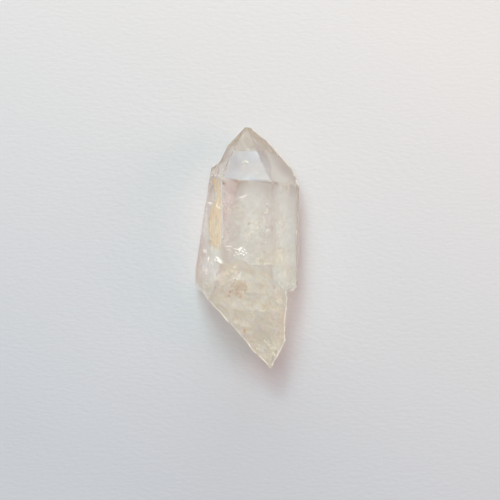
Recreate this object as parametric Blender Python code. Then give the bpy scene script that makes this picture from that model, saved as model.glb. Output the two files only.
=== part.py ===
"""Quartz point: a natural, slightly smoky crystal that lies on one of its six long faces.

The long axis runs close to +Y, towards the pointed end, +Z is up and the crystal rests on Z = 0.
Every flat crystal face is one plane that cuts a block, placed by its angle round the axis, by
how far it leans towards the point, and by one spot that it passes through. A second, smaller
crystal, grown parallel to the first, makes the left shoulder. The root end is broken off, and
rough blocks take that stone away.
"""

import math

import bmesh
import bpy
from mathutils import Matrix, Vector, noise

MM = 0.001

# Driving sizes of the main crystal, each measured on the real thing
THICKNESS = 13.5 * MM            # from the face it lies on to the face on top
AXIS_LEAN = math.radians(1.0)    # the long axis leans this far towards +X
POINT_SLOPE = 38.2               # degrees between a pyramid face of quartz and the long axis
TOP_LEFT = -4.15 * MM            # left edge of the top face, beside the shoulder
TOP_RIGHT = 4.05 * MM            # right edge of the top face
RIGHT_EDGE = 9.0 * MM            # the long edge that is the outline on the right
PRISM_END = 11.55 * MM           # where the top face ends and the front pyramid face starts
TIP = 20.95 * MM                 # how far the point reaches along +Y
TIP_CHIP = 76.0                  # slope of the small chipped face at the very tip

# A hexagon's sloping face falls this far for each step sideways
HEXAGON_FALL = math.sqrt(3.0)

# Driving sizes of the smaller crystal on the left
SHOULDER_TOP = THICKNESS - 0.3 * MM
SHOULDER_INNER = 0.5 * MM        # it ends here, inside the main crystal
SHOULDER_LEFT = -4.45 * MM       # left edge of its narrow top, beside the main crystal
SHOULDER_BEND = -6.8 * MM        # where its sloping side turns steeper
SHOULDER_SIDE = -7.6 * MM        # its outer edge, beside the middle of the crystal
SHOULDER_REACH = -9.05 * MM      # its outer edge where it is widest, near the break
SHOULDER_SPREAD = 17.7           # degrees that its lower side opens towards the root
SHOULDER_FRONT = 58.0            # slope of the steep face that ends it beside the point

# The broken end
BREAK_START = -2.4 * MM          # where the break leaves the top face
BREAK_END = -20.4 * MM           # where it comes down to its far end
BREAK_TIP = 5.2 * MM             # height of that far end
ROOT_REACH = -21.1 * MM          # the break reaches this far along -Y
GRAIN = 0.65 * MM                # spacing of the points that shape a broken surface
SWELL = 0.6 * MM                 # height of the broad waves in a broken surface
SWELL_LENGTH = 6.5 * MM          # and their length
LEDGE = 0.32 * MM                # height of its steps
LEDGE_LENGTH = 4.2 * MM          # and the distance from one to the next
WANDER_LENGTH = 1.9 * MM         # their edges wander over this length
LEDGE_LEVELS = 2.4               # how many steps there are up and down
PITS = 0.12 * MM                 # depth of its small pits
PITS_LENGTH = 1.3 * MM           # and their distance

BLOCK = 60.0 * MM                # the block that every crystal is cut from
REMOVED_DEPTH = 16.0 * MM        # how deep the stone is that each rough block takes away
MERGE = 0.004 * MM               # corners nearer than this become one
DOWN = (0.0, 0.0, -1.0)
ROOTWARDS = (0.0, -1.0, 0.0)


def clear_scene():
    """Start from an empty file."""
    for old in list(bpy.data.objects):
        bpy.data.objects.remove(old, do_unlink=True)


def new_collection(name):
    """Make a collection in the scene."""
    made = bpy.data.collections.new(name)
    bpy.context.scene.collection.children.link(made)
    return made


def smoky_quartz():
    """Clear quartz with a light smoky tint."""
    made = bpy.data.materials.new("smoky_quartz")
    made.use_nodes = True
    shader = made.node_tree.nodes["Principled BSDF"]
    shader.inputs["Base Color"].default_value = (0.83, 0.79, 0.72, 1.0)
    shader.inputs["Roughness"].default_value = 0.08
    shader.inputs["Metallic"].default_value = 0.0
    shader.inputs["IOR"].default_value = 1.544
    shader.inputs["Transmission Weight"].default_value = 0.9
    return made


def facing(turn, slope):
    """Outward direction of a crystal face.

    turn is its angle round the long axis in degrees, 0 to the right and 90 upwards.
    slope is how far it leans towards the point, 0 for a long face.
    """
    along = Vector((math.sin(AXIS_LEAN), math.cos(AXIS_LEAN), 0.0))
    across = Vector((math.cos(AXIS_LEAN), -math.sin(AXIS_LEAN), 0.0))
    up = Vector((0.0, 0.0, 1.0))
    round_axis = across * math.cos(math.radians(turn)) + up * math.sin(math.radians(turn))
    lean = math.radians(slope)
    return (round_axis * math.cos(lean) + along * math.sin(lean)).normalized()


def trim(shape, spot, outwards):
    """Cut away what lies beyond a plane, and close the cut with one flat face."""
    everything = shape.verts[:] + shape.edges[:] + shape.faces[:]
    cut = bmesh.ops.bisect_plane(
        shape, geom=everything, dist=MERGE * 0.1, plane_co=Vector(spot),
        plane_no=Vector(outwards), clear_outer=True)
    rim = [item for item in cut["geom_cut"] if isinstance(item, bmesh.types.BMEdge)]
    bmesh.ops.edgeloop_fill(shape, edges=rim)


def cut_crystal(name, faces, spare, collection):
    """Cut a block with planes, one for each (turn, slope, spot), into a crystal.

    spare is how far it runs on below the rest face and past the break, until both are trimmed.
    """
    shape = bmesh.new()
    bmesh.ops.create_cube(shape, size=BLOCK)
    trim(shape, (0.0, 0.0, -spare), DOWN)
    trim(shape, (0.0, ROOT_REACH - spare, 0.0), ROOTWARDS)
    for turn, slope, spot in faces:
        trim(shape, spot, facing(turn, slope))
    bmesh.ops.remove_doubles(shape, verts=shape.verts, dist=MERGE)
    bmesh.ops.recalc_face_normals(shape, faces=shape.faces)
    mesh = bpy.data.meshes.new(name)
    shape.to_mesh(mesh)
    shape.free()
    made = bpy.data.objects.new(name, mesh)
    collection.objects.link(made)
    return made


def main_faces():
    """The faces of the main crystal: turn, slope and a spot on each."""
    right_height = THICKNESS - (RIGHT_EDGE - TOP_RIGHT) * HEXAGON_FALL
    return (
        # The long faces
        (90, 0, (0.0, 0.0, THICKNESS)),
        (30, 0, (TOP_RIGHT, 8.4 * MM, THICKNESS)),
        (-30, 0, (RIGHT_EDGE, 8.4 * MM, right_height)),
        (150, 0, (TOP_LEFT, 8.0 * MM, THICKNESS)),
        (-150, 0, (-4.1 * MM, 16.5 * MM, 7.3 * MM)),
        # The pyramid faces round the point, the front one first
        (90, POINT_SLOPE, (0.0, PRISM_END, THICKNESS)),
        (30, POINT_SLOPE, (4.2 * MM, 11.15 * MM, THICKNESS)),
        (-30, POINT_SLOPE, (5.8 * MM, 15.95 * MM, 3.25 * MM)),
        (150, POINT_SLOPE, (-4.2 * MM, 12.25 * MM, THICKNESS)),
        (-150, POINT_SLOPE, (-2.2 * MM, 19.2 * MM, 6.4 * MM)),
        (-90, POINT_SLOPE, (0.0, 14.6 * MM, 0.0)),
        # A small facet on the right, and the chip at the tip
        (25, 31.0, (7.4 * MM, 13.3 * MM, 4.5 * MM)),
        (40, TIP_CHIP, (0.5 * MM, TIP - 0.1 * MM, 5.0 * MM)),
    )


def shoulder_faces():
    """The faces of the smaller crystal. Its inner side ends inside the main crystal."""
    bend_height = SHOULDER_TOP - (SHOULDER_LEFT - SHOULDER_BEND) * HEXAGON_FALL
    return (
        # The narrow top, the inner side and the outer sides
        (90, 0, (0.0, 0.0, SHOULDER_TOP)),
        (0, 0, (SHOULDER_INNER, 0.0, 0.0)),
        (150, 0, (SHOULDER_LEFT, 8.0 * MM, SHOULDER_TOP)),
        (160, 0, (SHOULDER_BEND, 5.8 * MM, bend_height)),
        (180, 0, (SHOULDER_REACH, -3.7 * MM, 3.0 * MM)),
        (-150, SHOULDER_SPREAD, (SHOULDER_SIDE, 5.8 * MM, 7.3 * MM)),
        # The faces that end it beside the point
        (90, SHOULDER_FRONT, (SHOULDER_LEFT, 11.75 * MM, SHOULDER_TOP)),
        (150, POINT_SLOPE, (-5.6 * MM, 13.4 * MM, 11.5 * MM)),
        (-90, POINT_SLOPE, (0.0, 11.0 * MM, 0.0)),
    )


def relief(spot, seed):
    """Height of a broken surface at a spot: swells, ledges and grain."""
    moved = Vector(spot) + Vector((17.0, 5.3, 11.9)) * seed * MM
    swell = noise.noise(moved / SWELL_LENGTH) * SWELL
    wander = noise.noise(moved / LEDGE_LENGTH) + 0.3 * noise.noise(moved / WANDER_LENGTH)
    steps = wander * LEDGE_LEVELS
    level = math.floor(steps)
    # Flat for three tenths, a smooth rise over four, then flat again
    rise = min(1.0, max(0.0, (steps - level - 0.3) / 0.4))
    ledges = (level + rise * rise * (3.0 - 2.0 * rise)) * LEDGE
    return swell + ledges + noise.noise(moved / PITS_LENGTH) * PITS


def rough_block(name, spot, outwards, size, rough, seed, collection):
    """Make a block outside a broken surface, with that surface rough.

    The middle of the rough face is at spot, and the block reaches from there along outwards.
    rough scales the relief, 1 for the roughest surface.
    """
    depth = REMOVED_DEPTH
    block = bmesh.new()
    bmesh.ops.create_cube(block, size=1.0)
    width, height = size
    bmesh.ops.scale(block, vec=(width, height, depth), verts=block.verts)
    bmesh.ops.translate(block, vec=(0.0, 0.0, depth / 2), verts=block.verts)
    for axis, length in ((0, width), (1, height)):
        slices = round(length / GRAIN)
        for number in range(1, slices):
            at = Vector((0.0, 0.0, 0.0))
            at[axis] = length * (number / slices - 0.5)
            normal = Vector((0.0, 0.0, 0.0))
            normal[axis] = 1.0
            everything = block.verts[:] + block.edges[:] + block.faces[:]
            bmesh.ops.bisect_plane(block, geom=everything, dist=MERGE, plane_co=at, plane_no=normal)
    for corner in block.verts:
        if corner.co.z < depth / 2:
            corner.co.z = relief(corner.co, seed) * rough
    direction = Vector(outwards).normalized()
    turn = direction.to_track_quat("Z", "Y").to_matrix().to_4x4()
    bmesh.ops.transform(block, matrix=Matrix.Translation(Vector(spot)) @ turn, verts=block.verts)
    bmesh.ops.recalc_face_normals(block, faces=block.faces)
    mesh = bpy.data.meshes.new(name)
    block.to_mesh(mesh)
    block.free()
    made = bpy.data.objects.new(name, mesh)
    made.hide_render = True
    made.display_type = "WIRE"
    collection.objects.link(made)
    return made


def broken_surfaces(collection):
    """The rough blocks that take the stone away round the root end."""
    drop = (THICKNESS - BREAK_TIP) / (BREAK_START - BREAK_END)
    half_way = 8.0 * MM
    blocks = (
        ("break_top", (1.2 * MM, BREAK_START - half_way, THICKNESS - half_way * drop),
         (0.0, -drop, 1.0), (26.0 * MM, 24.0 * MM), 1.0, 1),
        ("break_left", (-4.2 * MM, -9.5 * MM, 9.7 * MM),
         (-0.30, -0.48, 0.82), (24.0 * MM, 22.0 * MM), 1.0, 2),
        ("break_right", (6.6 * MM, -9.5 * MM, 8.6 * MM),
         (0.64, -0.30, 0.70), (20.0 * MM, 20.0 * MM), 0.9, 3),
        ("wall_left", (-2.15 * MM, -13.95 * MM, 5.0 * MM),
         (-0.749, -0.658, -0.08), (30.0 * MM, 20.0 * MM), 0.5, 4),
        ("wall_right", (6.25 * MM, -18.5 * MM, 6.0 * MM),
         (0.97, -0.02, -0.22), (22.0 * MM, 18.0 * MM), 0.5, 5),
        ("corner_right", (8.6 * MM, -6.7 * MM, 5.0 * MM),
         (0.55, -0.82, 0.1), (4.0 * MM, 20.0 * MM), 0.4, 8),
        ("wall_far", (5.1 * MM, -18.9 * MM, 5.6 * MM),
         (0.88, -0.42, -0.22), (20.0 * MM, 16.0 * MM), 0.5, 6),
        ("under_far", (3.6 * MM, -18.4 * MM, 1.4 * MM),
         (0.0, -0.67, -0.74), (16.0 * MM, 12.0 * MM), 0.6, 7),
    )
    return [rough_block(*block, collection) for block in blocks]


def join(target, tool, operation):
    """Add one Boolean step."""
    step = target.modifiers.new(tool.name, "BOOLEAN")
    step.operation = operation
    step.solver = "EXACT"
    step.object = tool


def apply_steps(target):
    """Turn the object and its Boolean steps into one plain mesh without slivers."""
    view = bpy.context.evaluated_depsgraph_get()
    mesh = bpy.data.meshes.new_from_object(target.evaluated_get(view))
    target.modifiers.clear()
    target.data = mesh
    shape = bmesh.new()
    shape.from_mesh(mesh)
    trim(shape, (0.0, 0.0, 0.0), DOWN)
    trim(shape, (0.0, ROOT_REACH, 0.0), ROOTWARDS)
    bmesh.ops.remove_doubles(shape, verts=shape.verts, dist=MERGE)
    bmesh.ops.dissolve_degenerate(shape, edges=shape.edges, dist=MERGE)
    shape.to_mesh(mesh)
    shape.free()
    return mesh


def centre(mesh):
    """Put the origin under the middle of the crystal, at the height it rests on."""
    low = Vector([min(corner.co[axis] for corner in mesh.vertices) for axis in range(3)])
    high = Vector([max(corner.co[axis] for corner in mesh.vertices) for axis in range(3)])
    middle = (low + high) / 2
    mesh.transform(Matrix.Translation((-middle.x, -middle.y, -low.z)))
    return high - low


def main():
    clear_scene()
    part = new_collection("quartz_point")
    tools = new_collection("cutters")
    crystal = cut_crystal("quartz_point", main_faces(), 1.0 * MM, part)
    shoulder = cut_crystal("shoulder", shoulder_faces(), 1.6 * MM, tools)
    shoulder.hide_render = True
    shoulder.display_type = "WIRE"
    join(crystal, shoulder, "UNION")
    for block in broken_surfaces(tools):
        join(crystal, block, "DIFFERENCE")
    mesh = apply_steps(crystal)
    size = centre(mesh)
    mesh.materials.clear()
    mesh.materials.append(smoky_quartz())
    print("quartz_point", [round(length / MM, 2) for length in size], "mm,", len(mesh.polygons), "faces")


main()
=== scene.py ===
# %% [markdown]
# A quartz point: one natural crystal of slightly smoky rock crystal, 42 mm long.
# It lies on one of its six long faces, points away from us, and is broken off at the root end.
# The frame holds its solid at the real size. This script gives it the surface of the real stone:
# flat clear faces, a rough milky break, healed cracks, iron stains and a smoky tint.
# Everything is in metres, with the point along +Y and the crystal resting on Z = 0.

import math
import random

import bmesh
import bpy
from mathutils import Matrix, Vector, kdtree, noise
from mathutils.bvhtree import BVHTree


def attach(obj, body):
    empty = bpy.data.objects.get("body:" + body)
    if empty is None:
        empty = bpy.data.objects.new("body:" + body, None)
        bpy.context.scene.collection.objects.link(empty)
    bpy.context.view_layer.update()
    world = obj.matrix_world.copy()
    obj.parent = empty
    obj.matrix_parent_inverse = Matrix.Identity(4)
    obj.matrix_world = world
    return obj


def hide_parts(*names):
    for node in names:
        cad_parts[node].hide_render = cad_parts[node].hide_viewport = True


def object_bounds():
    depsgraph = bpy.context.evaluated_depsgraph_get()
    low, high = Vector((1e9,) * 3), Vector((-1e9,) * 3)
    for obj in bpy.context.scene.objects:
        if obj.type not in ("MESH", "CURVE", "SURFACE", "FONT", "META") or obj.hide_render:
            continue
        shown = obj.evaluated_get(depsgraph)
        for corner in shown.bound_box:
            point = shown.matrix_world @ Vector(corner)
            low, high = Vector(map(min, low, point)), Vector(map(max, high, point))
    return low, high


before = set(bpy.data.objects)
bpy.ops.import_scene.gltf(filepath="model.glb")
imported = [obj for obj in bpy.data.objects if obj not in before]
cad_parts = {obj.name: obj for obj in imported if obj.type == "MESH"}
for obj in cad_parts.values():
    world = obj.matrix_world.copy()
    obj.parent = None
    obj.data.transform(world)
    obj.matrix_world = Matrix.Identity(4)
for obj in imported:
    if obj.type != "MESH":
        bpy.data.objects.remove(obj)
CAD_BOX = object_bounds()

MM = 0.001
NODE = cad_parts["quartz_point"]
LOW, HIGH = CAD_BOX
print("the solid measures", [round((HIGH[i] - LOW[i]) / MM, 1) for i in range(3)], "mm")

# %% [markdown]
# Colours are picked as sRGB hex values, the way a paint chart lists them, but the shaders work
# with linear light. One function turns the first into the second.
# A second small function adds a shader node, with its settings and its links, so that each
# material below reads as a short list of what it is made of. The node that mixes two colours has
# several sockets of the same name, so they are picked by number, and the numbers get names.

# %% Helpers for colours and nodes
SHARE, FIRST, SECOND, MIXED = 0, 6, 7, 2


def linear(hex_colour):
    """Turn an sRGB hex colour into the linear colour that shaders use."""
    channels = [int(hex_colour[i:i + 2], 16) / 255 for i in (1, 3, 5)]
    lit = [c / 12.92 if c <= 0.04045 else ((c + 0.055) / 1.055) ** 2.4 for c in channels]
    return (*lit, 1.0)


def add_node(tree, kind, settings=None, links=None):
    """Add a node, give it its settings, and link other nodes' outputs to its inputs.

    settings may name a property of the node or one of its inputs.
    links maps an input to (node, output).
    """
    made = tree.nodes.new(kind)
    for name, value in (settings or {}).items():
        if isinstance(name, str) and hasattr(made, name):
            setattr(made, name, value)
        else:
            made.inputs[name].default_value = value
    for name, (source, output) in (links or {}).items():
        tree.links.new(source.outputs[output], made.inputs[name])
    return made


def empty_material(name):
    """A material with nodes switched on and nothing in it but the output."""
    made = bpy.data.materials.new(name)
    made.use_nodes = True
    tree = made.node_tree
    tree.nodes.clear()
    return made, tree, tree.nodes.new("ShaderNodeOutputMaterial")


print("one colour function and one node function are ready")

# %% [markdown]
# Blender's operators act on everything that is selected, so each step first deselects all and
# then selects what it works on. Small marks of one kind are joined into one piece.

# %% Helpers for selecting and joining
def select_only(*pieces):
    """Leave these pieces selected, the first one active, and nothing else."""
    bpy.ops.object.select_all(action="DESELECT")
    for piece in pieces:
        piece.select_set(True)
    bpy.context.view_layer.objects.active = pieces[0]


def join(name, pieces):
    """Join the pieces into one of this name."""
    select_only(*pieces)
    bpy.ops.object.join()
    pieces[0].name = name
    print(name, "has", len(pieces[0].data.polygons), "faces")
    return pieces[0]


print("selecting and joining are ready")

# %% [markdown]
# The camera looks straight down on the stone, with its point at the top of the picture.
# A long lens from 40 cm keeps the six faces in their true proportions.
# The picture is 86.6 mm wide at the height of the crystal's widest edge.

# %% Camera
CAMERA_DISTANCE = 0.40
PICTURE_WIDTH = 86.6 * MM
WIDEST_HEIGHT = 5.5 * MM
PICTURE_CENTRE = (0.48 * MM, -0.30 * MM)
SENSOR = 36.0
NEAREST_SEEN = 0.01

camera_data = bpy.data.cameras.new("camera")
camera_data.sensor_width = SENSOR
camera_data.lens = SENSOR * CAMERA_DISTANCE / PICTURE_WIDTH
camera_data.clip_start = NEAREST_SEEN
camera = bpy.data.objects.new("camera", camera_data)
bpy.context.scene.collection.objects.link(camera)
camera.location = (*PICTURE_CENTRE, WIDEST_HEIGHT + CAMERA_DISTANCE)
bpy.context.scene.camera = camera
print("lens", round(camera_data.lens, 1), "mm")

# %% [markdown]
# Light goes through the clear body and its cracks many times before it comes out again, so the
# paths may be long, and the filter that dims light found by way of rough glass is switched off.

# %% Light paths
bpy.context.scene.view_settings.view_transform = "Standard"

paths = bpy.context.scene.cycles
paths.max_bounces = 32
paths.diffuse_bounces = 8
paths.glossy_bounces = 24
paths.transmission_bounces = 32
paths.transparent_max_bounces = 24
paths.blur_glossy = 0.0
print("light may turn", paths.max_bounces, "times")

# %% [markdown]
# Clear stone shows little but what stands round it, so the light is planned like a photographer's
# light tent. A dim warm room fills every side. One soft panel hangs overhead, where the flat front
# face mirrors it. A small cool window stands beyond the point, a little to the left, and throws the
# shadow. A warm lamp on the right makes that shadow rosy, and a low strip beyond the point lights
# the tip.

# %% Light
world = bpy.data.worlds.new("soft_room")
bpy.context.scene.world = world
world.use_nodes = True
room = world.node_tree.nodes["Background"]
room.inputs["Color"].default_value = linear("#ffe9e7")
room.inputs["Strength"].default_value = 0.378


def soft_light(name, place, size, watts, colour):
    """A rectangular soft light at a place, turned to the crystal."""
    data = bpy.data.lights.new(name, "AREA")
    data.shape = "RECTANGLE"
    data.size, data.size_y = size
    data.energy = watts
    data.color = linear(colour)[:3]
    light = bpy.data.objects.new(name, data)
    bpy.context.scene.collection.objects.link(light)
    light.location = place
    light.rotation_euler = (-Vector(place)).to_track_quat("-Z", "Y").to_euler()
    light.visible_camera = False


soft_light("panel_overhead", place=(-0.10, 0.20, 0.60), size=(0.4, 0.4), watts=1.06, colour="#ecffff")
soft_light("cool_window", place=(-0.12, 0.50, 0.50), size=(0.25, 0.2), watts=1.34, colour="#d5fcff")
soft_light("warm_lamp", place=(0.60, 0.0, 0.40), size=(0.4, 0.4), watts=0.85, colour="#ffc6ba")
soft_light("low_strip", place=(0.0, 0.75, 0.17), size=(0.8, 0.16), watts=2.12, colour="#e4f8ff")

# %% [markdown]
# The floor is a plain sheet of matt drawing paper. It could be a flat white plane, but a little
# unevenness makes the shadow believable: a fine tooth of short low ridges. Its colour is also painted
# a shade darker and cooler on one side than on the other: painted shade, where the light falls off
# across the sheet.

# %% Floor
FLOOR_SIZE = 6.0
FLOOR_GAP = 0.05 * MM
TOOTH = 0.55 * MM
TOOTH_HEIGHT = 0.10 * MM
TOOTH_STRETCH = (0.45, 1.0, 1.0)
PAINTED_SHADE_REACH = 45 * MM
PAINTED_SHADE_TURN = 1.2

bpy.ops.object.select_all(action="DESELECT")
bpy.ops.mesh.primitive_plane_add(size=FLOOR_SIZE, location=(0.0, 0.0, -FLOOR_GAP))
floor = bpy.context.object
floor.name = "floor"

paper, tree, output = empty_material("matt_drawing_paper")
place = add_node(tree, "ShaderNodeTexCoord")
turned = add_node(tree, "ShaderNodeMapping", {
    "vector_type": "TEXTURE", "Rotation": (0.0, 0.0, PAINTED_SHADE_TURN)}, {"Vector": (place, "Object")})
split = add_node(tree, "ShaderNodeSeparateXYZ", {}, {"Vector": (turned, "Vector")})
across = add_node(tree, "ShaderNodeMapRange", {"From Min": -PAINTED_SHADE_REACH, "From Max": PAINTED_SHADE_REACH}, {
    "Value": (split, "X")})
# painted shade: the paper is coloured darker and cooler towards one side, where the light falls off
shade = add_node(tree, "ShaderNodeMix", {
    "data_type": "RGBA", FIRST: linear("#e0e5eb"), SECOND: linear("#fbf8f6")}, {
    SHARE: (across, "Result")})
laid = add_node(tree, "ShaderNodeMapping", {"Scale": TOOTH_STRETCH}, {"Vector": (place, "Object")})
tooth = add_node(tree, "ShaderNodeTexNoise", {
    "Scale": 1 / TOOTH, "Detail": 3.0, "Roughness": 0.5}, {"Vector": (laid, "Vector")})
bump = add_node(tree, "ShaderNodeBump", {"Strength": 0.5, "Distance": TOOTH_HEIGHT}, {
    "Height": (tooth, "Fac")})
shader = add_node(tree, "ShaderNodeBsdfPrincipled", {"Roughness": 0.9, "Specular IOR Level": 0.2}, {
    "Base Color": (shade, MIXED), "Normal": (bump, "Normal")})
tree.links.new(shader.outputs["BSDF"], output.inputs["Surface"])
floor.data.materials.append(paper)
print("floor ready, with a tooth of", round(TOOTH / MM, 2), "mm")

# %% [markdown]
# The crystal's own body could be modelled anew, but the solid already has every face at its place,
# so the body starts as a copy of it. The copy comes as loose triangles, and its corners are merged
# first.

# %% Copy the solid
SAME_CORNER = 0.002 * MM

body = bpy.data.objects.new("quartz_body", NODE.data.copy())
bpy.context.scene.collection.objects.link(body)
select_only(body)
bpy.ops.object.mode_set(mode="EDIT")
bpy.ops.mesh.select_mode(type="FACE")
bpy.ops.mesh.select_all(action="SELECT")
bpy.ops.mesh.remove_doubles(threshold=SAME_CORNER)
bpy.ops.mesh.select_all(action="DESELECT")
print("body copied, its corners merged")

# %% [markdown]
# The large flat areas are the faces that the crystal grew. The triangles of such a face share one
# plane, so they can be told from the rest, and their inner edges are dissolved until each face is
# one polygon again. All the rest is the broken surface, and a number on each face keeps that.

# %% Find the grown faces
SAME_PLANE = 0.01 * MM
SAME_DIRECTION = 0.9999
SLIVER_AREA = 0.02 * MM ** 2
GROWN_AREA = 1.2 * MM ** 2
FLAT_ANGLE = math.radians(0.4)


def grown_faces(shape):
    """Find the triangles that share one plane with others and are large together."""
    by_size = sorted(shape.faces, key=lambda face: -face.calc_area())
    found = set()
    for seed in by_size:
        if seed in found or seed.calc_area() < SLIVER_AREA:
            continue
        normal = seed.normal.copy()
        reach = normal.dot(seed.calc_center_median())
        same = [face for face in by_size
                if face.normal.dot(normal) > SAME_DIRECTION
                and abs(normal.dot(face.calc_center_median()) - reach) < SAME_PLANE]
        if sum(face.calc_area() for face in same) > GROWN_AREA:
            found.update(same)
    return found


shape = bmesh.from_edit_mesh(body.data)
broken = shape.faces.layers.int.new("broken")
grown = grown_faces(shape)
for face in shape.faces:
    face[broken] = face not in grown
    face.select_set(face in grown)
bmesh.update_edit_mesh(body.data)
print(len(grown), "triangles on grown faces of", len(shape.faces))
bpy.ops.mesh.dissolve_limited(angle_limit=FLAT_ANGLE)

# %% [markdown]
# Where two crystal faces meet, years of knocks have bruised the sharp edge to a fine white line.
# A narrow bevel gives each of those edges a strip of its own, which the material can whiten. A
# strip is told from the other faces by how narrow it is.

# %% Bevel the sharp edges
EDGE_WIDTH = 0.07 * MM
WORN_WIDTH = 1.6 * EDGE_WIDTH
SHARP_ANGLE = math.radians(15)

bpy.ops.mesh.select_mode(type="EDGE")
bpy.ops.mesh.select_all(action="DESELECT")
shape = bmesh.from_edit_mesh(body.data)
broken = shape.faces.layers.int["broken"]
for edge in shape.edges:
    on_grown = not any(face[broken] for face in edge.link_faces)
    edge.select_set(on_grown and edge.calc_face_angle(0.0) > SHARP_ANGLE)
bmesh.update_edit_mesh(body.data)
bpy.ops.mesh.bevel(offset=EDGE_WIDTH, segments=1, affect="EDGES", clamp_overlap=False)

bpy.ops.mesh.select_mode(type="FACE")
shape = bmesh.from_edit_mesh(body.data)
broken = shape.faces.layers.int["broken"]
worn = shape.faces.layers.int.new("worn")
for face in shape.faces:
    width = 2 * face.calc_area() / face.calc_perimeter()
    face[worn] = not face[broken] and width < WORN_WIDTH
bmesh.update_edit_mesh(body.data)
print(sum(face[worn] for face in shape.faces), "worn edge faces")

# %% [markdown]
# The break will be roughened in its mesh, so that its shells and grain are real shape and not only
# a shading trick. That needs small facets, so every triangle of the break is cut finer.

# %% Cut the break finer
BREAK_CUTS = 3

bpy.ops.mesh.select_all(action="DESELECT")
shape = bmesh.from_edit_mesh(body.data)
broken = shape.faces.layers.int["broken"]
for face in shape.faces:
    face.select_set(bool(face[broken]))
bmesh.update_edit_mesh(body.data)
bpy.ops.mesh.subdivide(number_cuts=BREAK_CUTS)
bpy.ops.object.mode_set(mode="OBJECT")
print("body has", len(body.data.polygons), "faces")

# %% [markdown]
# The grown faces stay flat and their edges stay sharp, so whatever happens to the break has to
# fade out towards them. Each point's distance from the border of the break is measured once, and
# two vertex groups are made: all inner points of the break, and the same points with a soft fade.

# %% Measure from the border of the break
FADE_WIDTH = 1.1 * MM

shape = bmesh.new()
shape.from_mesh(body.data)
broken = shape.faces.layers.int["broken"]
border = [v.co.copy() for v in shape.verts if len({face[broken] for face in v.link_faces}) > 1]
inner = {v.index for v in shape.verts if all(face[broken] for face in v.link_faces)}
shape.free()

near = kdtree.KDTree(len(border))
for index, corner in enumerate(border):
    near.insert(corner, index)
near.balance()
from_border = [near.find(vertex.co)[2] for vertex in body.data.vertices]

fading = body.vertex_groups.new(name="break_fade")
whole = body.vertex_groups.new(name="break_inner")
for index in sorted(inner):
    fading.add([index], min(1.0, from_border[index] / FADE_WIDTH), "REPLACE")
    whole.add([index], 1.0, "REPLACE")
print(len(border), "points on the border of the break,", len(inner), "inside it")

# %% [markdown]
# Quartz has no cleavage. It breaks in shallow shells and splinters, and an old break is bruised all
# over. After a light smoothing, two Displace modifiers press this into the small facets: cells
# about a millimetre across for the shells, and a cloud pattern of about a third of that for the
# grain. They press mostly inwards, so that the piece stays within the box of the solid.

# %% Roughen the break
SHELL_SIZE, SHELL_DEPTH = 1.1 * MM, 0.16 * MM
GRAIN_SIZE, GRAIN_DEPTH = 0.4 * MM, 0.12 * MM
MOSTLY_INWARDS = 0.75
SOFT_ANGLE = math.radians(40)


def finish_with(piece, kind, settings):
    """Add a modifier with these settings and apply it."""
    select_only(piece)
    modifier = piece.modifiers.new(kind.lower(), kind)
    for name, value in settings.items():
        setattr(modifier, name, value)
    bpy.ops.object.modifier_apply(modifier=modifier.name)


shells = bpy.data.textures.new("break_shells", "VORONOI")
shells.noise_scale = SHELL_SIZE
shells.distance_metric = "DISTANCE"
grain = bpy.data.textures.new("break_grain", "CLOUDS")
grain.noise_scale = GRAIN_SIZE
grain.noise_depth = 2

finish_with(body, "SMOOTH", {"factor": 0.5, "iterations": 5, "vertex_group": "break_inner"})
for texture, depth in ((shells, SHELL_DEPTH), (grain, GRAIN_DEPTH)):
    finish_with(body, "DISPLACE", {
        "texture": texture, "texture_coords": "LOCAL", "direction": "NORMAL",
        "mid_level": MOSTLY_INWARDS, "strength": depth, "vertex_group": "break_fade"})

select_only(body)
bpy.ops.mesh.customdata_custom_splitnormals_clear()
bpy.ops.object.shade_smooth_by_angle(angle=SOFT_ANGLE)
for polygon, is_broken in zip(body.data.polygons, body.data.attributes["broken"].data):
    if not is_broken.value:
        polygon.use_smooth = False
print("break roughened")

# %% [markdown]
# The very end of the root is blunt on the real stone. The last bit of the mesh is spread sideways,
# most of all at the end itself. By hand this would be proportional scaling, and in code it is one
# line for each point.

# %% Blunt the end of the root
BLUNT_REACH = 1.2 * MM
BLUNT_SPREAD = 1.7

end = min(body.data.vertices, key=lambda vertex: vertex.co.y).co.copy()
for vertex in body.data.vertices:
    nearness = 1.0 - (vertex.co.y - end.y) / BLUNT_REACH
    if nearness > 0.0:
        vertex.co.x = end.x + (vertex.co.x - end.x) * (1.0 + BLUNT_SPREAD * nearness ** 2)
print("the root ends at", [round(c / MM, 1) for c in end], "mm")

# %% [markdown]
# Under a lens the break is milky: thousands of fine cracks scatter the light. The milk is thin next
# to the clear faces and thick further in, in patches. Iron from the water in the rock left
# rust-brown spots. Both could be painted on by hand. Here they are worked out for each point of
# the mesh and kept as attributes, which the material reads, so the patches stay on the stone.

# %% Milk on the break
MILK_FADE = 1.4 * MM
MEAN_MILK = 0.80
BROAD_PATCH, BROAD_SWING = 0.9 * MM, 0.5
SMALL_PATCH, SMALL_SWING = 0.33 * MM, 1.2


def drift(place, size, swing):
    """Smooth noise from minus to plus half the swing, in patches of this size."""
    return swing * 0.5 * noise.noise(Vector(place) / size)


def held(value):
    """The value, held between 0 and 1."""
    return max(0.0, min(1.0, value))


milk = body.data.attributes.new("milk", "FLOAT", "POINT")
for index in inner:
    place = body.data.vertices[index].co
    patches = MEAN_MILK + drift(place, BROAD_PATCH, BROAD_SWING) + drift(place, SMALL_PATCH, SMALL_SWING)
    milk.data[index].value = held(patches) * held(from_border[index] / MILK_FADE)
print("milk on", len(inner), "points, at most", round(max(point.value for point in milk.data), 2))

# %% [markdown]
# Each stain is a round spot with a frayed edge, at its own place on the stone. A spot is placed as
# it shows from above and would reach right through to the underside, so it is kept faint there.

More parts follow.
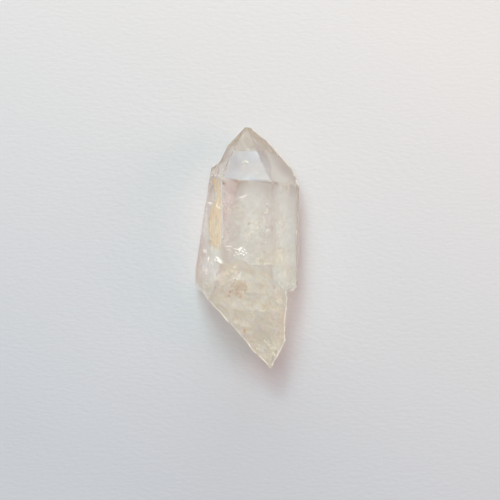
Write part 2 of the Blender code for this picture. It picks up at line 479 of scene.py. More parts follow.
# %% Rust on the break
STAINS = (
    # x and y in mm from above, radius in mm, strength
    (-1.00, -6.6, 1.25, 0.33), (-1.75, -6.9, 0.60, 0.47), (-1.50, -7.7, 0.60, 0.43),
    (-0.45, -6.1, 0.50, 0.40), (-0.40, -7.2, 0.50, 0.40), (-1.10, -8.3, 0.40, 0.36),
    (-2.95, -7.5, 0.35, 0.50), (-3.05, -8.1, 0.30, 0.50), (-2.60, -6.5, 0.30, 0.36),
    (-0.40, -14.3, 0.40, 0.50), (3.40, -10.0, 1.20, 0.14), (-6.90, -5.6, 0.35, 0.58),
    (1.00, -9.3, 1.00, 0.14), (0.90, -17.9, 0.80, 0.14), (4.40, -4.6, 1.00, 0.18),
    (2.30, -6.5, 0.70, 0.16),
)
FRAY_SIZE, FRAY_SWING = 0.30 * MM, 1.4
EDGE_STEEPNESS = 1.6
UPPER_SIDE = 3.0 * MM
UNDERSIDE_SHARE = 0.3

rust = body.data.attributes.new("rust", "FLOAT", "POINT")
for index in inner:
    place = body.data.vertices[index].co
    fray = drift(place, FRAY_SIZE, FRAY_SWING)
    brown = 0.0
    for x, y, radius, strength in STAINS:
        away = math.dist((x, y), (place.x / MM, place.y / MM)) / radius
        brown = max(brown, strength * held(EDGE_STEEPNESS * (1.0 - away + fray)))
    rust.data[index].value = brown if place.z > UPPER_SIDE else UNDERSIDE_SHARE * brown
print("rust on", sum(point.value > 0.0 for point in rust.data), "points")

# %% [markdown]
# Natural quartz: a glass-hard clear crystal with an index of refraction of 1.544. Where it is
# milky, the white skin is never even: the eye sees crisp flecks. Real cracks are finer than the
# picture can show, so the flecks are drawn as coarse as they need to show.
# The material is built in four steps, and this first one says how white each spot is: the milk of
# the break, or the bruise of a worn edge, broken up by the flecks.

# %% Smoky rock crystal: how white
FLECK = 0.42 * MM
BRUISE = 0.95

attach(body, "root")
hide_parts("quartz_point")

quartz, tree, output = empty_material("smoky_rock_crystal")
place = add_node(tree, "ShaderNodeTexCoord")
is_broken, is_milky, is_rusty, is_worn = (
    add_node(tree, "ShaderNodeAttribute", {"attribute_name": name})
    for name in ("broken", "milk", "rust", "worn"))
bruised = add_node(tree, "ShaderNodeMath", {"operation": "MULTIPLY", 1: BRUISE}, {0: (is_worn, "Fac")})
whitened = add_node(tree, "ShaderNodeMath", {"operation": "MAXIMUM"}, {
    0: (is_milky, "Fac"), 1: (bruised, "Value")})
fleck = add_node(tree, "ShaderNodeTexNoise", {
    "Scale": 1 / FLECK, "Detail": 3.0, "Roughness": 0.75}, {"Vector": (place, "Object")})
contrast = add_node(tree, "ShaderNodeMapRange", {
    "From Min": 0.36, "From Max": 0.62, "To Min": 0.58, "To Max": 1.16}, {"Value": (fleck, "Fac")})
flecked = add_node(tree, "ShaderNodeMath", {"operation": "MULTIPLY", "use_clamp": True}, {
    0: (whitened, "Value"), 1: (contrast, "Result")})
print("the crystal reads", [node.attribute_name for node in (is_broken, is_milky, is_rusty, is_worn)])

# %% [markdown]
# Clear quartz has no colour of its own: every bend of a light path would multiply a tint, so the
# base stays pure white there. Only the milky skin is cream, in two shades that change from patch to
# patch. Dust dulls it between the flecks, and rust stains it brown.

# %% Smoky rock crystal: its colours
PATCH = 1.3 * MM

patch = add_node(tree, "ShaderNodeTexNoise", {"Scale": 1 / PATCH, "Detail": 2.0}, {
    "Vector": (place, "Object")})
yellow = add_node(tree, "ShaderNodeMapRange", {"From Min": 0.38, "From Max": 0.62}, {
    "Value": (patch, "Fac")})
skin_hue = add_node(tree, "ShaderNodeMix", {
    "data_type": "RGBA", FIRST: linear("#fffcf2"), SECOND: linear("#fef9e8")}, {
    SHARE: (yellow, "Result")})
tinted = add_node(tree, "ShaderNodeMapRange", {"From Min": 0.0, "From Max": 0.65}, {
    "Value": (whitened, "Value")})
cream = add_node(tree, "ShaderNodeMix", {"data_type": "RGBA", FIRST: linear("#ffffff")}, {
    SHARE: (tinted, "Result"), SECOND: (skin_hue, MIXED)})
between = add_node(tree, "ShaderNodeMapRange", {
    "From Min": 0.36, "From Max": 0.60, "To Min": 0.60, "To Max": 0.0}, {"Value": (fleck, "Fac")})
dusty = add_node(tree, "ShaderNodeMath", {"operation": "MULTIPLY"}, {
    0: (between, "Result"), 1: (flecked, "Value")})
mottled = add_node(tree, "ShaderNodeMix", {"data_type": "RGBA", SECOND: linear("#e6dac2")}, {
    SHARE: (dusty, "Value"), FIRST: (cream, MIXED)})
skin = add_node(tree, "ShaderNodeMix", {"data_type": "RGBA", SECOND: linear("#cd9a50")}, {
    SHARE: (is_rusty, "Fac"), FIRST: (mottled, MIXED)})
print("cream, dust and rust are mixed")

# %% [markdown]
# The flat faces are as they grew: glossy with a slight satin, and with faint waves across them. The
# break is rougher and has a fine grain on top of the shape that the mesh already has. A bump is
# enough for both, because they are less than a fifth of a millimetre deep.

# %% Smoky rock crystal: its relief and gloss
GROWTH_WAVE, GROWTH_HEIGHT = 2.0 * MM, 0.05 * MM
GROWTH_STRETCH = (0.5, 1.0, 1.0)
FINE_GRAIN, FINE_HEIGHT = 0.30 * MM, 0.19 * MM

stretched = add_node(tree, "ShaderNodeMapping", {"Scale": GROWTH_STRETCH}, {"Vector": (place, "Object")})
growth = add_node(tree, "ShaderNodeTexNoise", {
    "Scale": 1 / GROWTH_WAVE, "Detail": 3.0, "Roughness": 0.45}, {"Vector": (stretched, "Vector")})
waves = add_node(tree, "ShaderNodeBump", {"Strength": 0.45, "Distance": GROWTH_HEIGHT}, {
    "Height": (growth, "Fac")})
fine_grain = add_node(tree, "ShaderNodeTexNoise", {
    "Scale": 1 / FINE_GRAIN, "Detail": 4.0, "Roughness": 0.65}, {"Vector": (place, "Object")})
relief = add_node(tree, "ShaderNodeBump", {"Distance": FINE_HEIGHT}, {
    "Height": (fine_grain, "Fac"), "Strength": (is_broken, "Fac"), "Normal": (waves, "Normal")})
uneven = add_node(tree, "ShaderNodeMath", {"operation": "MAXIMUM"}, {
    0: (is_broken, "Fac"), 1: (is_worn, "Fac")})
rough = add_node(tree, "ShaderNodeMapRange", {"To Min": 0.24, "To Max": 0.55}, {
    "Value": (uneven, "Value")})
print("waves of", GROWTH_WAVE / MM, "mm and grain of", FINE_GRAIN / MM, "mm")

# %% [markdown]
# Last come the light in the stone and the shader. The clear body lets light through, and the whiter
# a spot is, the less it does. Real milk in quartz passes light on from deep inside. The render
# finds only part of that light, so the skin scatters some of it below its surface, and a very
# small glow of its own makes up for the rest. The smoky tint is light taken away on its way
# through, more blue than red, so thick parts are warmer and darker than thin ones.

# %% Smoky rock crystal: the shader
QUARTZ_IOR = 1.544
SMOKE_DENSITY = 13.8
MILK_DEPTH = 1.2 * MM
MILK_GLOW = 0.062

clear = add_node(tree, "ShaderNodeMapRange", {"To Min": 1.0, "To Max": 0.12}, {
    "Value": (flecked, "Value")})
glow = add_node(tree, "ShaderNodeMath", {"operation": "MULTIPLY", 1: MILK_GLOW}, {
    0: (flecked, "Value")})
shader = add_node(tree, "ShaderNodeBsdfPrincipled", {
    "IOR": QUARTZ_IOR, "Subsurface Radius": (1.0, 0.97, 0.85), "Subsurface Scale": MILK_DEPTH}, {
    "Base Color": (skin, MIXED), "Roughness": (rough, "Result"), "Normal": (relief, "Normal"),
    "Transmission Weight": (clear, "Result"), "Subsurface Weight": (flecked, "Value"),
    "Emission Color": (skin, MIXED), "Emission Strength": (glow, "Value")})
smoke = add_node(tree, "ShaderNodeVolumeAbsorption", {
    "Color": linear("#d6c3a8"), "Density": SMOKE_DENSITY})
tree.links.new(shader.outputs["BSDF"], output.inputs["Surface"])
tree.links.new(smoke.outputs["Volume"], output.inputs["Volume"])
body.data.materials.clear()
body.data.materials.append(quartz)
print("crystal finished, with", len(tree.nodes), "nodes")

# %% [markdown]
# The cracks, films and grains sit inside the stone, where they are seen bent by the surface above
# them. This helper starts from where such a mark appears from above, in mm, follows that sight line
# to the crystal, bends it as quartz does, and stops at a given depth under the surface. A sight
# line that misses the crystal moves in towards its middle until it meets it.

# %% Helper to place things inside the stone
MOVE_IN = 0.97

solid = BVHTree.FromPolygons(
    [vertex.co for vertex in NODE.data.vertices], [face.vertices for face in NODE.data.polygons])


def sight_to(x, y):
    """The line from the camera to x, y in mm, at the height of the widest edge."""
    return Vector((x * MM, y * MM, WIDEST_HEIGHT)) - camera.location


def inside(x, y, depth):
    """The point that shows at x, y from above and lies this deep below the surface, all in mm."""
    hit = None
    while hit is None:
        sight = sight_to(x, y).normalized()
        hit, normal = solid.ray_cast(camera.location, sight)[:2]
        x, y = MOVE_IN * x, MOVE_IN * y
    cosine = -normal.dot(sight)
    bend = 1 / QUARTZ_IOR
    inward = bend * sight + (bend * cosine - math.sqrt(1 - bend ** 2 * (1 - cosine ** 2))) * normal
    return hit + inward * (depth * MM / -inward.dot(normal))


print("1 mm under the middle lies", [round(c / MM, 2) for c in inside(0.0, 0.0, 1.0)])

# %% [markdown]
# A crack or a film is a thin sheet. Its left and right borders are listed as they appear from
# above, and a grid is stretched between them and laid under the surface, with a slight ripple where
# the real one isn't flat.

# %% Helper for thin films
RIPPLES_PER_MM = 0.9


def along(line, share):
    """The point at this share of the way down a line given by its corners."""
    corners = [Vector(corner) for corner in line]
    lengths = [(b - a).length for a, b in zip(corners, corners[1:])]
    rest = share * sum(lengths)
    for a, b, length in zip(corners, corners[1:], lengths):
        if rest <= length + 1e-9:
            return a.lerp(b, rest / length)
        rest -= length
    return corners[-1]


def film_between(name, left, right, depth, ripple, columns, rows):
    """A thin film under the surface, from a left border to a right one, both listed downwards."""
    bpy.ops.object.select_all(action="DESELECT")
    bpy.ops.mesh.primitive_grid_add(x_subdivisions=columns, y_subdivisions=rows, size=1)
    piece = bpy.context.object
    piece.name = name
    for vertex in piece.data.vertices:
        across, down = vertex.co.x + 0.5, 0.5 - vertex.co.y
        x, y = along(left, down).lerp(along(right, down), across)
        wave = noise.noise(Vector((x, y, depth)) * RIPPLES_PER_MM)
        vertex.co = inside(x, y, depth + ripple * wave)
    piece.data.update()
    bpy.ops.object.shade_smooth()
    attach(piece, "root")
    return piece


print("films ripple about every", round(1 / RIPPLES_PER_MM, 1), "mm")

# %% [markdown]
# Just under the front pyramid face the crystal has come apart along a flat crack, thinner than a
# hair. The air in it turns part of the light back and shows as a pale bluish window with straight
# sides. It could be painted on the face, but then the quartz above it would not bend its edges,
# and it would not shift as the stone is turned. So it is modelled as what it is: one thin sheet
# that follows the faces a third of a millimetre below them. The material is a see-through white
# that is a little uneven.

# %% The pale window
WINDOW_LEFT = ((-2.64, 16.87), (-3.06, 15.46), (-3.61, 13.73), (-4.15, 12.33))
WINDOW_RIGHT = (
    (2.31, 16.87), (2.99, 15.80), (3.59, 15.63), (3.94, 14.77), (4.17, 14.25), (4.17, 11.22))
WINDOW_CLOUD, WINDOW_TONE = 1.7 * MM, 3.5 * MM

window = film_between(
    "window_crack", WINDOW_LEFT, WINDOW_RIGHT, depth=0.30, ripple=0.0, columns=28, rows=20)

air_film, tree, output = empty_material("air_film_in_crack")
place = add_node(tree, "ShaderNodeTexCoord")
clouds = add_node(tree, "ShaderNodeTexNoise", {
    "Scale": 1 / WINDOW_CLOUD, "Detail": 3.5, "Roughness": 0.6}, {"Vector": (place, "Object")})
cover = add_node(tree, "ShaderNodeMapRange", {
    "From Min": 0.3, "From Max": 0.75, "To Min": 0.34, "To Max": 0.54}, {"Value": (clouds, "Fac")})
tone = add_node(tree, "ShaderNodeTexNoise", {"Scale": 1 / WINDOW_TONE, "Detail": 1.0}, {
    "Vector": (place, "Object")})
cool = add_node(tree, "ShaderNodeMapRange", {"From Min": 0.38, "From Max": 0.60}, {
    "Value": (tone, "Fac")})
hue = add_node(tree, "ShaderNodeMix", {
    "data_type": "RGBA", FIRST: linear("#ddd7da"), SECOND: linear("#d2d5e4")}, {
    SHARE: (cool, "Result")})
shader = add_node(tree, "ShaderNodeBsdfPrincipled", {"Roughness": 0.5, "Specular IOR Level": 0.3}, {
    "Base Color": (hue, MIXED), "Alpha": (cover, "Result")})
tree.links.new(shader.outputs["BSDF"], output.inputs["Surface"])
window.data.materials.append(air_film)
print("window has", len(window.data.polygons), "faces")

# %% [markdown]
# Along the left side face, water once crept into a flat crack and left a film of yellow iron
# oxide. It begins as a narrow tongue and widens downwards, and ends sharply at the edge of the
# crystal face. It is laid with the same helper as the window.

# %% The iron film
IRON_LEFT = ((-5.95, 12.0), (-5.75, 8.3), (-6.35, 7.4), (-6.75, 5.6), (-6.85, 2.0), (-6.60, -0.8))
IRON_RIGHT = ((-4.80, 12.0), (-4.60, 9.2), (-4.52, 7.4), (-4.48, 5.0), (-4.48, 2.0), (-4.60, -0.8))

iron = film_between("iron_film", IRON_LEFT, IRON_RIGHT, depth=0.22, ripple=0.05, columns=16, rows=60)
print("iron film has", len(iron.data.polygons), "faces")

# %% [markdown]
# Yellow iron oxide is a dull earthy film. It is streaked along the crystal, thins out towards its
# left border and its lower end, and turns orange where it lies thickest. How thick it is comes from
# a drawn-out noise, less what the film's own UV map takes away near those two borders. The film
# also glows faintly in its ochre, which is painted light.

# %% Yellow iron oxide
STREAK = 0.9 * MM
STREAK_STRETCH = (1.0, 0.35, 1.0)
OCHRE = "#fbe4b0"

iron_oxide, tree, output = empty_material("yellow_iron_oxide_film")
place = add_node(tree, "ShaderNodeTexCoord")
drawn = add_node(tree, "ShaderNodeMapping", {"Scale": STREAK_STRETCH}, {"Vector": (place, "Object")})
streaks = add_node(tree, "ShaderNodeTexNoise", {
    "Scale": 1 / STREAK, "Detail": 4.0, "Roughness": 0.6}, {"Vector": (drawn, "Vector")})
sides = add_node(tree, "ShaderNodeSeparateXYZ", {}, {"Vector": (place, "UV")})
from_left = add_node(tree, "ShaderNodeMapRange", {
    "From Min": 0.0, "From Max": 0.22, "To Min": -0.25, "To Max": 0.10}, {"Value": (sides, "X")})
from_end = add_node(tree, "ShaderNodeMapRange", {
    "From Min": 0.0, "From Max": 0.12, "To Min": -0.4, "To Max": 0.0}, {"Value": (sides, "Y")})
borders = add_node(tree, "ShaderNodeMath", {"operation": "ADD"}, {
    0: (from_left, "Result"), 1: (from_end, "Result")})
thick = add_node(tree, "ShaderNodeMath", {"operation": "ADD"}, {
    0: (streaks, "Fac"), 1: (borders, "Value")})
cover = add_node(tree, "ShaderNodeMapRange", {
    "From Min": 0.26, "From Max": 0.60, "To Min": 0.0, "To Max": 0.55}, {"Value": (thick, "Value")})
deep = add_node(tree, "ShaderNodeMapRange", {"From Min": 0.66, "From Max": 0.90}, {
    "Value": (thick, "Value")})
ochre = add_node(tree, "ShaderNodeMix", {
    "data_type": "RGBA", FIRST: linear(OCHRE), SECOND: linear("#efab70")}, {SHARE: (deep, "Result")})
# the faint ochre glow is painted light: the film is no lamp
shader = add_node(tree, "ShaderNodeBsdfPrincipled", {
    "Roughness": 0.6, "Specular IOR Level": 0.3,
    "Emission Color": linear(OCHRE), "Emission Strength": 0.13}, {
    "Base Color": (ochre, MIXED), "Alpha": (cover, "Result")})
tree.links.new(shader.outputs["BSDF"], output.inputs["Surface"])
iron.data.materials.append(iron_oxide)
print("iron film streaked every", STREAK / MM, "mm")

# %% [markdown]
# Older cracks have partly healed. What is left of them are veils: cloudy patches of tiny bubbles,
# thickest in the middle and frayed at the rim. A fog inside the stone would be nearest to the real
# thing, but it takes long to render, so each veil is a small rippled sheet. They come in five
# kinds: small bright ones that still flash, soft clouds in the clear body, pale ones near the left
# side, cream ones near the break, and a faint haze deep under the front faces.

# %% Where the veils are
BRIGHT_VEILS = (
    # middle x, middle y, half width, half height, depth, turn in degrees
    (-1.30, -0.30, 1.25, 0.80, 0.5, -15), (0.05, 2.00, 1.00, 0.65, 0.6, 10),
    (-3.2, -0.2, 1.0, 0.45, 0.5, -6), (-7.3, -0.6, 0.85, 0.85, 0.3, 30),
    (-6.7, -1.7, 0.7, 0.9, 0.3, -20), (-5.0, -2.1, 1.15, 0.70, 0.4, -33),
    (-2.1, -3.9, 0.9, 1.5, 0.3, 12), (0.0, -3.2, 1.2, 0.5, 0.4, -12),
    (-3.7, -4.4, 0.8, 1.0, 0.25, 30), (-0.6, 8.9, 1.0, 0.35, 0.6, 5),
    (-5.9, 13.2, 0.9, 0.5, 0.3, 35), (-4.2, 7.1, 0.7, 0.35, 0.3, -35),
)
SOFT_CLOUDS = (
    (6.0, 4.0, 2.0, 4.2, 0.5, 4), (5.6, -1.6, 2.2, 3.0, 0.5, 10), (1.2, 4.0, 3.4, 4.0, 0.9, 0),
    (-1.8, 6.6, 2.6, 3.0, 0.9, 0), (2.6, -1.4, 2.4, 2.2, 0.6, 20), (6.6, 10.6, 1.6, 2.0, 0.5, -30),
    (-0.3, 14.9, 1.5, 0.9, 0.15, -10),
)
PALE_CLOUDS = (
    (-7.6, 4.0, 1.1, 5.6, 0.25, -6), (-7.2, -3.6, 1.7, 2.6, 0.30, 15),
    (-4.9, -4.9, 1.6, 1.8, 0.25, 30), (-5.8, 13.0, 1.7, 2.4, 0.30, -38),
    (-3.7, 9.0, 2.0, 4.8, 0.35, 0), (-3.7, 2.6, 2.0, 4.8, 0.35, 0),
)
CREAM_CLOUDS = (
    (6.8, -4.4, 2.1, 3.2, 0.20, 0), (3.2, -2.6, 4.4, 1.6, 0.30, 0), (-1.2, -3.0, 2.2, 1.4, 0.30, -10),
    (5.6, -0.8, 3.0, 2.2, 0.40, 10), (-7.2, -6.4, 1.5, 1.1, 0.12, -40),
)
FAINT_HAZE = ((2.1, 2.6, 6.2, 8.6, 1.3, 0), (-3.1, 7.4, 2.0, 5.6, 0.6, 0))
VEIL_KINDS = (BRIGHT_VEILS, SOFT_CLOUDS, PALE_CLOUDS, CREAM_CLOUDS, FAINT_HAZE)
print(sum(len(kind) for kind in VEIL_KINDS), "veils of", len(VEIL_KINDS), "kinds")

# %% [markdown]
# All veils share one recipe. The cover comes from a noise, plus a part that follows the sheet's own
# UV map: full in the middle, and gone before the sheet ends, so that no straight rim shows. A kind
# differs in colour, in how coarse its bubbles look, in how thick it gets and in how much it glows.
# The glow is painted light: a veil is no lamp, and the glow gives the bright ones their flash and
# lifts the others. Bubbles are far too fine to show, so they are drawn as grain of about a millimetre.

# %% Healed veils
VEIL_RIPPLE = 0.25


def veil(x, y, wide, high, depth, turn):
    """One veil, turned in the picture plane about its middle."""
    side, up = Vector((wide, 0.0)), Vector((0.0, high))
    side.rotate(Matrix.Rotation(math.radians(turn), 2))
    up.rotate(Matrix.Rotation(math.radians(turn), 2))
    middle = Vector((x, y))
    left = (middle - side + up, middle - side - up)
    right = (middle + side + up, middle + side - up)
    return film_between("veil", left, right, depth, VEIL_RIPPLE, columns=10, rows=8)


def veil_material(name, colour, grain_mm, starts, full, thickest, glow):
    """Cloudy white that is thickest in the middle of each sheet, frays at its rim, and glows with painted
    light.
    """
    made, tree, output = empty_material(name)
    place = add_node(tree, "ShaderNodeTexCoord")
    from_middle = add_node(tree, "ShaderNodeVectorMath", {"operation": "DISTANCE", 1: (0.5, 0.5, 0.0)}, {
        0: (place, "UV")})
    fray = add_node(tree, "ShaderNodeTexNoise", {
        "Scale": 1 / (grain_mm * MM), "Detail": 4.0, "Roughness": 0.7}, {"Vector": (place, "Object")})
    rim = add_node(tree, "ShaderNodeMapRange", {
        "From Min": 0.12, "From Max": 0.5, "To Min": 0.22, "To Max": -0.45}, {
        "Value": (from_middle, "Value")})
    thick = add_node(tree, "ShaderNodeMath", {"operation": "ADD"}, {
        0: (fray, "Fac"), 1: (rim, "Result")})
    cover = add_node(tree, "ShaderNodeMapRange", {
        "From Min": starts, "From Max": full, "To Min": 0.0, "To Max": thickest}, {
        "Value": (thick, "Value")})
    # the glow is painted light: a veil is no lamp
    shader = add_node(tree, "ShaderNodeBsdfPrincipled", {
        "Base Color": linear(colour), "Roughness": 0.5,
        "Emission Color": linear(colour), "Emission Strength": glow}, {"Alpha": (cover, "Result")})
    tree.links.new(shader.outputs["BSDF"], output.inputs["Surface"])
    return made


for piece_name, rows, material_name, colour, grain_mm, starts, full, thickest, glow in (
        ("bright_veils", BRIGHT_VEILS, "open_healed_crack", "#fffaf0", 0.40, 0.50, 0.90, 0.80, 0.35),
        ("soft_clouds", SOFT_CLOUDS, "cloud_of_tiny_bubbles", "#f6f4e4", 1.10, 0.30, 0.95, 0.40, 0.12),
        ("pale_clouds", PALE_CLOUDS, "pale_healed_crack", "#f3eef2", 1.30, 0.12, 0.95, 0.42, 0.32),
        ("cream_clouds", CREAM_CLOUDS, "iron_stained_bubbles", "#f4ecd2", 0.60, 0.14, 0.95, 0.38, 0.10),
        ("faint_haze", FAINT_HAZE, "haze_of_tiny_bubbles", "#e8dcd6", 0.90, 0.14, 0.80, 0.34, 0.05)):
    veils = join(piece_name, [veil(*row) for row in rows])
    veils.data.materials.append(
        veil_material(material_name, colour, grain_mm, starts, full, thickest, glow))

# %% [markdown]
# Small splinter-shaped cracks flash white or cream where they catch the light, and a small glow of
# painted light adds to that flash. Dark grains of rust sit near the root. At their size only place,
# length, width and turn can be told apart, so one shape serves for all: an icosphere of unit length,
# with its corners shaken. Pressing it flat and drawing it out comes with each copy.

# %% One splinter
bpy.ops.object.select_all(action="DESELECT")
bpy.ops.mesh.primitive_ico_sphere_add(subdivisions=2, radius=0.5)
splinter = bpy.context.object
bpy.ops.object.mode_set(mode="EDIT")
bpy.ops.mesh.select_all(action="SELECT")
bpy.ops.transform.vertex_random(offset=0.10, seed=4)
bpy.ops.object.mode_set(mode="OBJECT")
print("a splinter has", len(splinter.data.polygons), "faces")

# %% [markdown]
# The splinters and grains that the eye picks out one by one are each listed: where they
# show from above, how deep they lie, how long and wide they are, and how they are turned.

# %% Where the splinters and grains are
WHITE = (
    # x, y, depth, length and width in mm, turn in degrees
    (-4.95, -1.85, 0.20, 1.50, 0.26, -33), (-4.75, -2.35, 0.20, 1.35, 0.22, -27),
    (-5.6, -2.0, 0.2, 0.55, 0.2, -60), (-7.50, -0.35, 0.25, 0.50, 0.30, 70),
    (-6.70, -1.85, 0.25, 0.75, 0.28, 75), (-7.05, -1.1, 0.3, 0.35, 0.2, 20),
    (-0.85, 8.88, 0.45, 1.30, 0.12, 6), (-0.35, 9.15, 0.4, 0.6, 0.10, 12),
    (-3.15, 0.35, 0.40, 1.30, 0.10, -2), (-1.85, -0.15, 0.40, 1.40, 0.11, -8),
    (-1.2, -0.05, 0.45, 0.8, 0.25, 25), (-0.8, -0.55, 0.45, 0.55, 0.2, -30),
    (-2.05, -2.95, 0.35, 0.60, 0.35, 60), (-2.5, -3.9, 0.35, 0.5, 0.25, -50),
    (-1.6, -3.5, 0.35, 0.5, 0.2, 40), (2.55, -9.05, 0.30, 0.80, 0.18, -38),
    (-0.72, -8.1, 0.25, 0.35, 0.28, 0), (-1.45, -8.95, 0.25, 0.3, 0.25, 0),
    (-6.20, 7.75, 0.08, 1.70, 0.11, -18), (-4.95, 7.00, 0.08, 1.30, 0.11, -40),
    (-5.25, 7.60, 0.08, 0.80, 0.09, 62), (-1.90, -0.75, 0.40, 0.50, 0.12, -50),
    (-1.50, -1.05, 0.40, 0.60, 0.10, 30), (-1.00, -0.95, 0.40, 0.50, 0.12, -20),
    (-0.60, -1.15, 0.40, 0.40, 0.15, 60), (-1.30, -0.45, 0.40, 0.45, 0.12, 80),
    (-0.40, -0.25, 0.40, 0.50, 0.10, -40), (-2.20, -1.20, 0.40, 0.40, 0.12, 10),
    (-0.20, -0.80, 0.40, 0.35, 0.15, 0), (-2.20, -3.20, 0.12, 0.55, 0.32, 40),
    (-1.90, -4.10, 0.12, 0.45, 0.32, 0), (-2.70, -4.00, 0.12, 0.34, 0.26, -30),
    (-1.35, -4.75, 0.10, 0.36, 0.24, 50), (-2.35, -5.20, 0.10, 0.40, 0.22, -60),
    (-1.75, -5.35, 0.10, 0.30, 0.22, 20), (-3.10, -3.30, 0.15, 0.36, 0.20, 70),
    (-0.90, -3.90, 0.15, 0.42, 0.24, -20), (-6.10, -2.60, 0.20, 0.40, 0.18, -75),
    (-8.10, -1.60, 0.15, 0.50, 0.14, 80),
)
CREAM = (
    (-6.12, 12.60, 0.25, 0.55, 0.22, 25), (-6.15, 7.75, 0.25, 0.95, 0.12, -22),
    (-4.55, 6.85, 0.25, 0.80, 0.12, -38), (-4.75, 7.35, 0.25, 0.6, 0.10, -70),
    (3.42, 7.72, 0.40, 0.50, 0.16, 5), (3.25, 6.18, 0.40, 0.75, 0.25, 12),
    (3.45, 6.6, 0.4, 0.35, 0.2, 80), (8.52, 2.75, 0.06, 0.80, 0.20, 86),
    (0.0, 14.95, 0.12, 0.45, 0.20, -20), (-0.35, 15.2, 0.12, 0.30, 0.14, 40),
    (-0.25, -3.05, 0.35, 1.05, 0.14, -8), (0.35, -3.3, 0.35, 0.5, 0.12, -40),
    (5.6, 2.1, 0.4, 0.26, 0.14, 30), (6.6, 0.9, 0.4, 0.28, 0.16, -20),
    (5.9, -0.4, 0.4, 0.30, 0.16, 10), (2.0, -1.7, 0.4, 0.40, 0.16, 35),
    (3.4, -2.0, 0.4, 0.38, 0.13, -15), (4.8, -2.9, 0.4, 0.40, 0.15, 20),
)
RUSTY = (
    (-6.90, -5.60, 0.10, 0.26, 0.22, 0), (-2.90, -7.58, 0.10, 0.26, 0.20, 30),
    (-3.04, -8.10, 0.10, 0.24, 0.20, 0), (-2.98, -5.15, 0.15, 0.20, 0.16, 0),
    (-4.20, 11.30, 0.25, 0.30, 0.20, 10), (-3.85, 11.15, 0.25, 0.22, 0.18, 0),
    (-6.60, 1.25, 0.20, 0.26, 0.24, 0), (-6.35, 0.6, 0.2, 0.16, 0.16, 0),
    (-3.6, -4.6, 0.15, 0.2, 0.15, 0), (-2.3, -6.2, 0.12, 0.24, 0.18, 40),
    (-2.1, -5.4, 0.12, 0.2, 0.14, -30), (-5.4, -4.4, 0.15, 0.18, 0.14, 0),
    (-2.75, -4.9, 0.10, 0.22, 0.18, 20), (-2.45, -4.5, 0.10, 0.20, 0.18, 60),
    (-1.9, -4.7, 0.10, 0.18, 0.16, 0), (-1.5, -4.2, 0.10, 0.16, 0.14, 0),
    (-3.1, -5.7, 0.10, 0.22, 0.16, 80), (-2.5, -7.2, 0.08, 0.20, 0.16, 45),
)
print(len(WHITE), "white and", len(CREAM), "cream splinters,", len(RUSTY), "grains")

# %% [markdown]
# The root is also full of specks that nobody would count. They could be a noise in the material,
# but then none would lie deeper than another. So they are shapes as well, strewn by chance, from a
# seeded draw so that every run gives the same stone. A place is taken only if the stone still
# shows half a millimetre to each side of it.

# %% Specks strewn over the root
ROOT_ACROSS, ROOT_DOWN = (-9.0, 8.0), (-20.2, -3.6)
SPECK_MARGIN = 0.5

dice = random.Random(11)


def stone_shows(x, y):
    """Whether the sight line to x, y meets the stone."""
    return solid.ray_cast(camera.location, sight_to(x, y))[0] is not None


def on_root(count, short, long):
    """Rows for specks strewn over the root, all of chance place, size and turn."""
    rows = []
    while len(rows) < count:
        x, y = dice.uniform(*ROOT_ACROSS), dice.uniform(*ROOT_DOWN)
        if all(stone_shows(x + dx, y + dy) for dx, dy in (
                (SPECK_MARGIN, 0.0), (-SPECK_MARGIN, 0.0), (0.0, SPECK_MARGIN), (0.0, -SPECK_MARGIN))):
            length = dice.uniform(short, long)
            rows.append((x, y, dice.uniform(0.03, 0.10), length, length * dice.uniform(0.4, 0.9),
                         dice.uniform(0.0, 180.0)))
    return tuple(rows)


specks = on_root(340, short=0.09, long=0.25)
print(len(specks), "specks")

# %% [markdown]
# The thin edges round the stone show a fine pale line, which is broken here and there. It is partly
# the bruise of old knocks and partly a painted highlight where the edges catch the light.
# The line follows the outline: at each step down one side, halving the gap between a spot on the
# stone and a spot beside it finds the edge. A sliver then lies along each stretch, just inside, but
# not across a notch in the outline, where the next spot is more than three steps away.

# %% Slivers along the edges
BESIDE_STONE = 12.0
MIDDLE_X, ROOT_TOP, ROOT_LEAN = 0.3, -8.0, 0.29
EDGE_ERROR = 0.01
RIM_INSET, RIM_DEPTH = 0.10, 0.05
RIM_KEPT = 0.85
NOTCH = 3.0


def rim(top, bottom, side, step):
    """Rows for slivers down one side of the stone, -1 left or 1 right."""
    spots, y = [], top
    while y > bottom:
        stone = MIDDLE_X + ROOT_LEAN * max(0.0, ROOT_TOP - y)
        air = side * BESIDE_STONE
        while abs(air - stone) > EDGE_ERROR:
            half = (air + stone) / 2
            stone, air = (half, air) if stone_shows(half, y) else (stone, half)
        spots.append((stone - side * RIM_INSET, y))
        y -= step * dice.uniform(0.8, 1.2)
    rows = []
    for (x, y), (next_x, next_y) in zip(spots, spots[1:]):
        reach = math.dist((x, y), (next_x, next_y))
        if reach < NOTCH * step and dice.random() < RIM_KEPT:
            rows.append((x, y, RIM_DEPTH, reach * dice.uniform(0.9, 1.5), dice.uniform(0.10, 0.20),
                         math.degrees(math.atan2(next_y - y, next_x - x))))
    return tuple(rows)
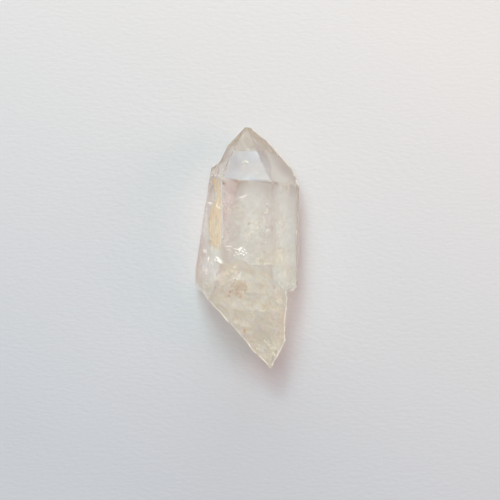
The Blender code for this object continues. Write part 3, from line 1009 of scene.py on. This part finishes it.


# these slivers are partly bruised edge and partly a painted highlight along the outline
point_rim = rim(20.4, 10.5, side=1, step=0.5)
slanted_rim = rim(-6.4, -20.7, side=-1, step=0.4)
root_rim = rim(-7.6, -20.7, side=1, step=0.45)
more_grains = on_root(16, short=0.08, long=0.14)
print(len(point_rim + slanted_rim + root_rim), "slivers and", len(more_grains), "more grains")

# %% [markdown]
# Now the splinter is copied to every row's place, each copy with its own mesh, length, width and
# turn, and the copies of one kind are joined into one piece. A mark is too small to show any
# pattern, so its material is plain: air in an open crack is white and glossy, bruised quartz is
# cream and matt, and rust is a dull brown. Each mark also has a small glow, which is painted light
# and does what it does in the milk.

# %% Splinters, specks and grains
def scatter(name, rows, thickness):
    """Copy the splinter to each row's place and join the copies into one piece."""
    copies = []
    for x, y, depth, length, width, turn in rows:
        copy = bpy.data.objects.new("mark", splinter.data.copy())
        bpy.context.scene.collection.objects.link(copy)
        copy.data.transform(Matrix.Translation(inside(x, y, depth))
                            @ Matrix.Rotation(math.radians(turn), 4, "Z")
                            @ Matrix.Diagonal((length * MM, width * MM, thickness * MM, 1.0)))
        copies.append(copy)
    marks = join(name, copies)
    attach(marks, "root")
    return marks


def mark_material(name, colour, roughness, glow):
    """A plain dense material for marks too small to show any pattern, with a small glow of painted light.
    """
    made, tree, output = empty_material(name)
    shader = add_node(tree, "ShaderNodeBsdfPrincipled", {
        "Base Color": linear(colour), "Roughness": roughness,
        "Emission Color": linear(colour), "Emission Strength": glow})
    tree.links.new(shader.outputs["BSDF"], output.inputs["Surface"])
    return made


# the last number of each row is a glow of painted light: no mark is a lamp
for piece_name, rows, thickness, material_name, colour, roughness, glow in (
        ("white_splinters", WHITE, 0.06, "open_crack_in_quartz", "#ffffff", 0.25, 0.55),
        ("pale_specks", specks, 0.05, "bruised_quartz_speck", "#fff6e0", 0.5, 0.30),
        # the pale rim: partly bruised edge, partly a painted highlight along the outline
        ("pale_rim", point_rim + slanted_rim + root_rim, 0.05, "bruised_edge_and_painted_highlight", "#fbf6e8", 0.5, 0.34),
        ("cream_splinters", CREAM, 0.06, "stained_crack_in_quartz", "#fbf4de", 0.4, 0.26),
        ("rust_grains", RUSTY + more_grains, 0.05, "rust_grain", "#b08558", 0.7, 0.05)):
    marks = scatter(piece_name, rows, thickness)
    marks.data.materials.append(mark_material(material_name, colour, roughness, glow))
bpy.data.objects.remove(splinter)
